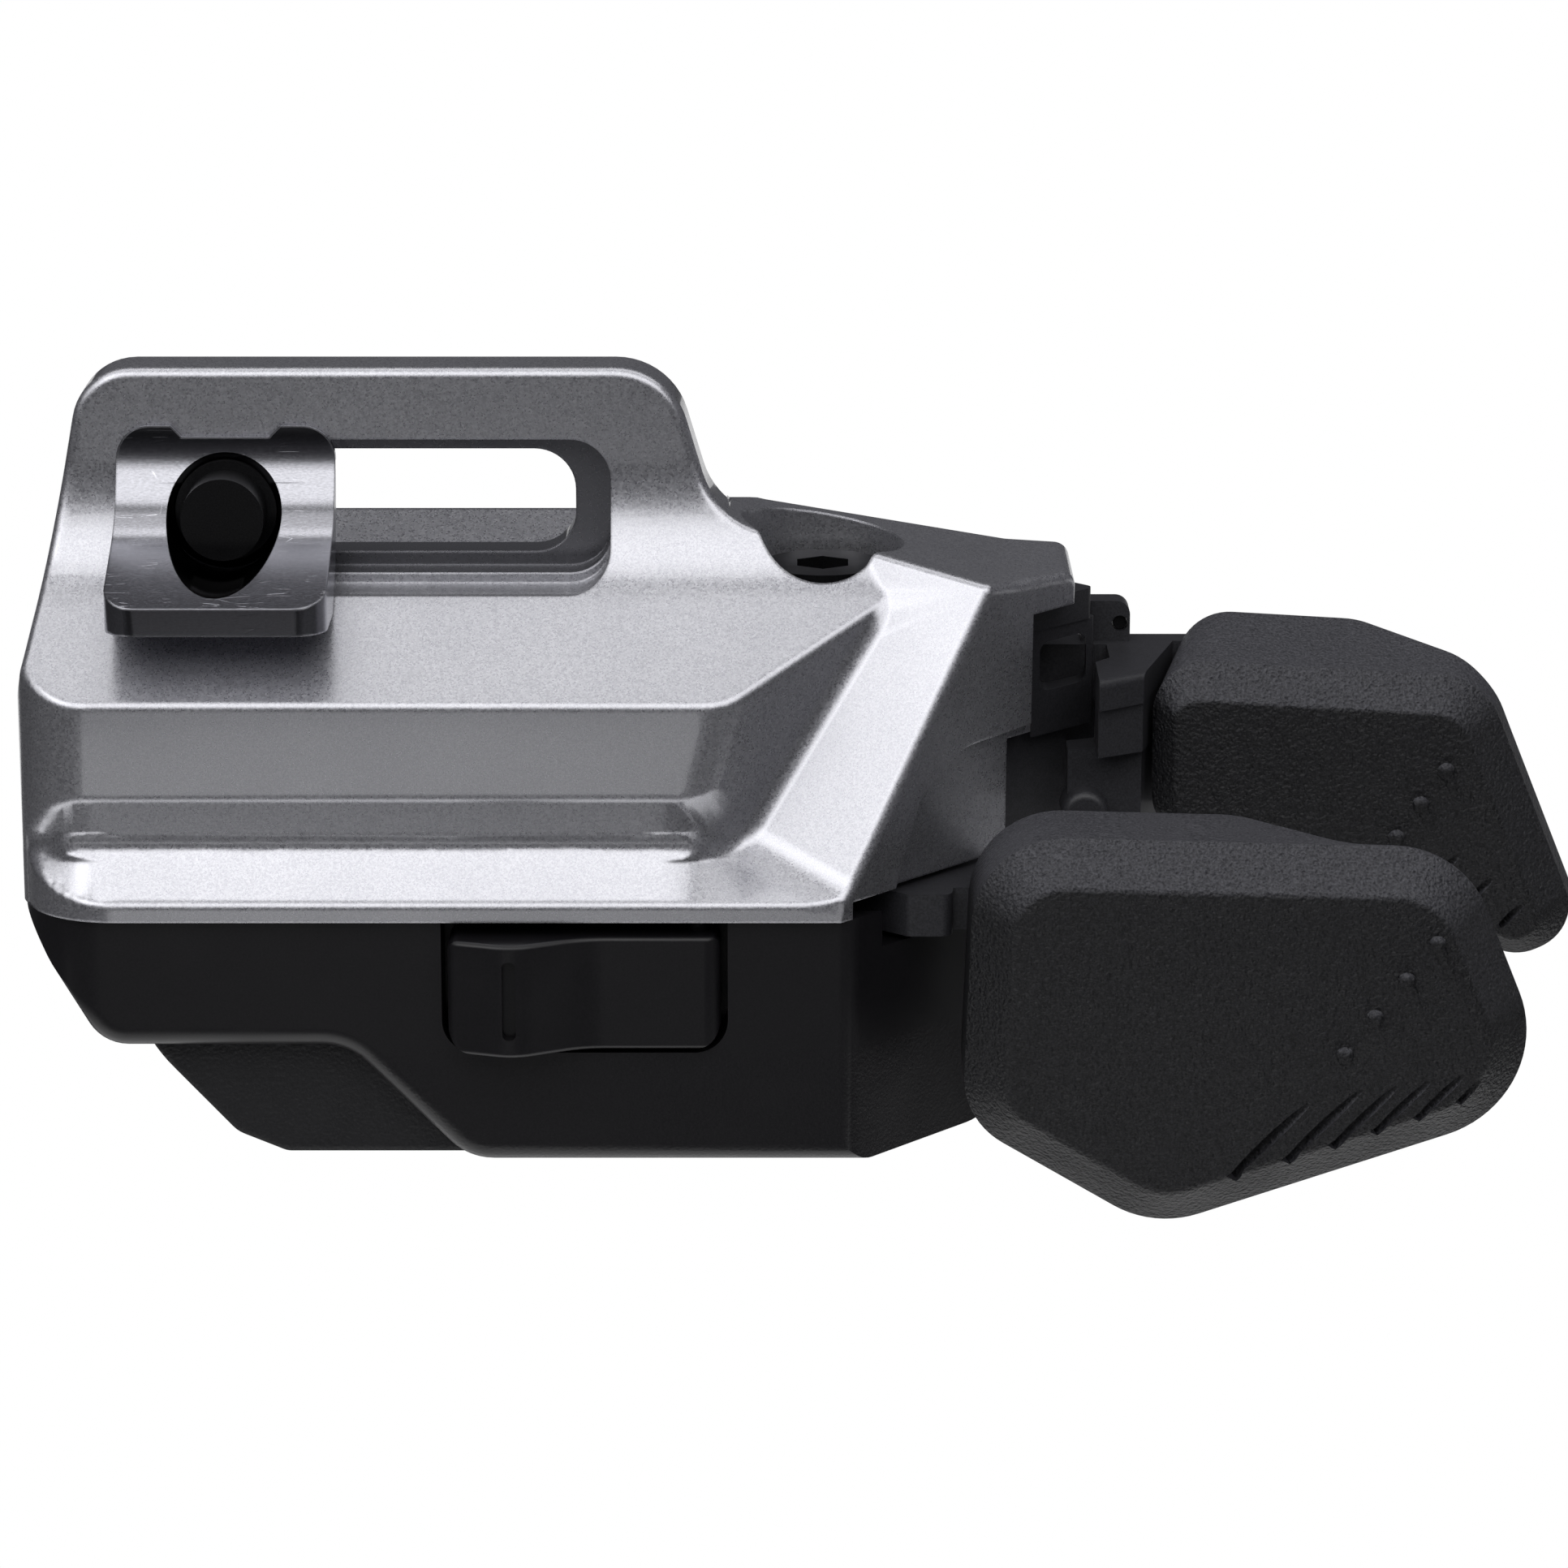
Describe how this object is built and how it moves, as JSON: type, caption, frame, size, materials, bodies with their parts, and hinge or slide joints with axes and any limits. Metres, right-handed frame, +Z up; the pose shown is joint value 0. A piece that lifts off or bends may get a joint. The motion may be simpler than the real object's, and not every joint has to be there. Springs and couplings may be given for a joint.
{
  "type": "electronic shift switch",
  "caption": "Handlebar shift switch: silver cast shell with a slotted clamp plate over a black tub, a rocking thumb button and two sprung rubber paddles.",
  "frame": {"origin": "on the clamp bolt's axis, halfway along the depth of the saddle washer's hollow seat", "axes": "+X right along the slot, from the washer to the paddles; +Y away from the rider; +Z up"},
  "size_m": [0.076, 0.0253, 0.0397],
  "materials": {
    "cast_silver": "metallic flake paint under clear coat",
    "blasted_metal": "blasted, fine scratches",
    "black_steel": "black oxide",
    "steel": "plain",
    "black_polymer": "satin with fine grain",
    "grained_polymer": "coarser moulded grain",
    "black_casting": "black coated casting",
    "paddle_rubber": "leather-like grain",
    "seal_rubber": "matte",
    "board_laminate": "green solder mask",
    "shield_can": "tinned",
    "cell_steel": "polished",
    "contact_metal": "plated",
    "switch_polymer": "matte",
    "bush_polymer": "plain bearing polymer"
  },
  "bodies": {
    "clamp": {"saddle_washer": "blasted_metal", "clamp_bolt": "black_steel", "bolt_washer": "steel"},
    "housing": {"top_housing": "cast_silver", "lower_housing": "black_polymer", "pivot_nut": "steel", "housing_screws": "black_steel", "battery_cover_screws": "black_steel", "battery_cover": "grained_polymer", "battery_seal": "seal_rubber", "coin_cell": "cell_steel", "battery_contact_negative": "contact_metal", "battery_contact_positive": "contact_metal", "circuit_board": "board_laminate", "radio_module": "shield_can", "lever_switch_board": "board_laminate", "upper_switch": "switch_polymer", "lower_switch": "switch_polymer", "function_switch": "switch_polymer", "button_pin": "black_steel", "pivot_bolt": "black_steel", "upper_bush": "bush_polymer", "lower_bush": "bush_polymer", "lever_bracket": "black_casting", "upper_spring": "steel", "lower_spring": "steel"},
    "upper_lever": {"upper_lever_arm": "black_casting", "upper_paddle": "paddle_rubber", "upper_paddle_screws": "black_steel", "upper_adjust_screw": "black_steel"},
    "lower_lever": {"lower_lever_arm": "black_casting", "lower_paddle": "paddle_rubber", "lower_paddle_screws": "black_steel"},
    "button": {"function_button": "black_polymer"},
    "upper_tact": {"upper_plunger": "switch_polymer"},
    "lower_tact": {"lower_plunger": "switch_polymer"},
    "function_tact": {"function_plunger": "switch_polymer"}
  },
  "joints": [
    {"name": "position_slide", "type": "slide", "parent": "clamp", "child": "housing", "axis": [-1, 0, 0], "range_m": [0, 0.0143]},
    {"name": "upper_lever_pivot", "type": "hinge", "parent": "housing", "child": "upper_lever", "pos_m": [0.0289, 0.0063, 0], "axis": [0, 0, 1], "range_deg": [0, 6], "stiffness_Nm_per_rad": 0.6, "springref_deg": -3.44, "deforming": ["upper_spring"]},
    {"name": "lower_lever_pivot", "type": "hinge", "parent": "housing", "child": "lower_lever", "pos_m": [0.0289, 0.0063, 0], "axis": [0, 0, 1], "range_deg": [0, 6], "stiffness_Nm_per_rad": 0.6, "springref_deg": -3.44, "deforming": ["lower_spring"]},
    {"name": "button_rock", "type": "hinge", "parent": "housing", "child": "button", "pos_m": [0.0229, -0.0034, -0.0218], "axis": [0, 0, -1], "range_deg": [0, 5], "stiffness_Nm_per_rad": 0.2, "springref_deg": -2.86},
    {"name": "upper_plunger_slide", "type": "slide", "parent": "housing", "child": "upper_tact", "axis": [0, -1, 0], "range_m": [0, 0.00085]},
    {"name": "lower_plunger_slide", "type": "slide", "parent": "housing", "child": "lower_tact", "axis": [0, -1, 0], "range_m": [0, 0.00085]},
    {"name": "function_plunger_slide", "type": "slide", "parent": "housing", "child": "function_tact", "axis": [0, 1, 0], "range_m": [0, 0.0008]}
  ],
  "couplings": [
    {"joint": "upper_plunger_slide", "follows": "upper_lever_pivot", "m_per_rad": 0.0078},
    {"joint": "lower_plunger_slide", "follows": "lower_lever_pivot", "m_per_rad": 0.0078},
    {"joint": "function_plunger_slide", "follows": "button_rock", "m_per_rad": 0.0087}
  ]
}
